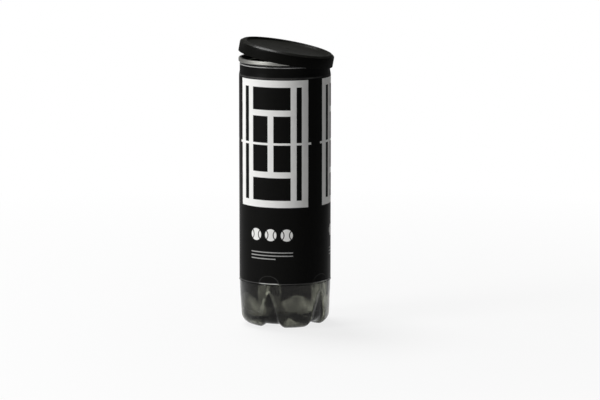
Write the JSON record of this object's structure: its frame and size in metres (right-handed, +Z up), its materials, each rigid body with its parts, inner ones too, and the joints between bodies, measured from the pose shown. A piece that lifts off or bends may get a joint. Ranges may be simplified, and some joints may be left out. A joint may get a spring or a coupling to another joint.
{
  "type": "tennis ball can",
  "caption": "Tall clear plastic can with a footed base, a printed film sleeve, a seamed metal rim left open after the panel was torn out, and a press-on lid lying askew on the rim",
  "frame": {"origin": "on the can's axis, at the level of the flat pads of the feet", "axes": "+Z up along the can's axis; +X towards the low side of the tipped lid; Y along the line about which the lid tips"},
  "size_m": [0.0762, 0.076, 0.2285],
  "materials": {
    "clear_plastic": "clear, glossy, faintly smoky",
    "printed_film": "satin black film with white print",
    "rim_metal": "bright rolled sheet",
    "sealing_compound": "matte",
    "lid_plastic": "satin moulded black"
  },
  "bodies": {
    "can": {"can_body": "clear_plastic", "printed_sleeve": "printed_film", "rim_ring": "rim_metal", "seam_lining": "sealing_compound"},
    "lid": {"press_on_lid": "lid_plastic"}
  },
  "joints": [
    {"name": "lid_tip", "type": "hinge", "parent": "can", "child": "lid", "pos_m": [0.03827, 0, 0.20675], "axis": [0, 1, 0], "range_deg": [-10.3, 80]}
  ]
}
